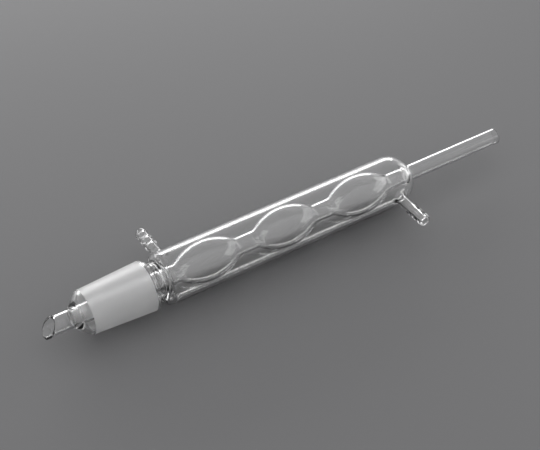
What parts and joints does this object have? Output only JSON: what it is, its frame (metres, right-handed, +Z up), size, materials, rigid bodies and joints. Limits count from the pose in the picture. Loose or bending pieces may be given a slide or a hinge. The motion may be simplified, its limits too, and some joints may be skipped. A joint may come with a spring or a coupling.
{
  "type": "allihn condenser",
  "caption": "Bulbed reflux condenser of clear glass: bulbed inner tube in a domed water jacket, serrated hose connectors, ground cone joint and slanted drip tip.",
  "frame": {"origin": "on the surface the condenser lies on, below the middle of its length", "axes": "+X along the condenser's axis from the drip tip to the stem, +Z up from the surface it lies on, +Y towards the lower hose connector"},
  "size_m": [0.3577, 0.0926, 0.0354],
  "materials": {
    "glass": "clear, with a frosted ground zone on the cone"
  },
  "bodies": {
    "root": {"condenser": "glass"}
  },
  "joints": []
}
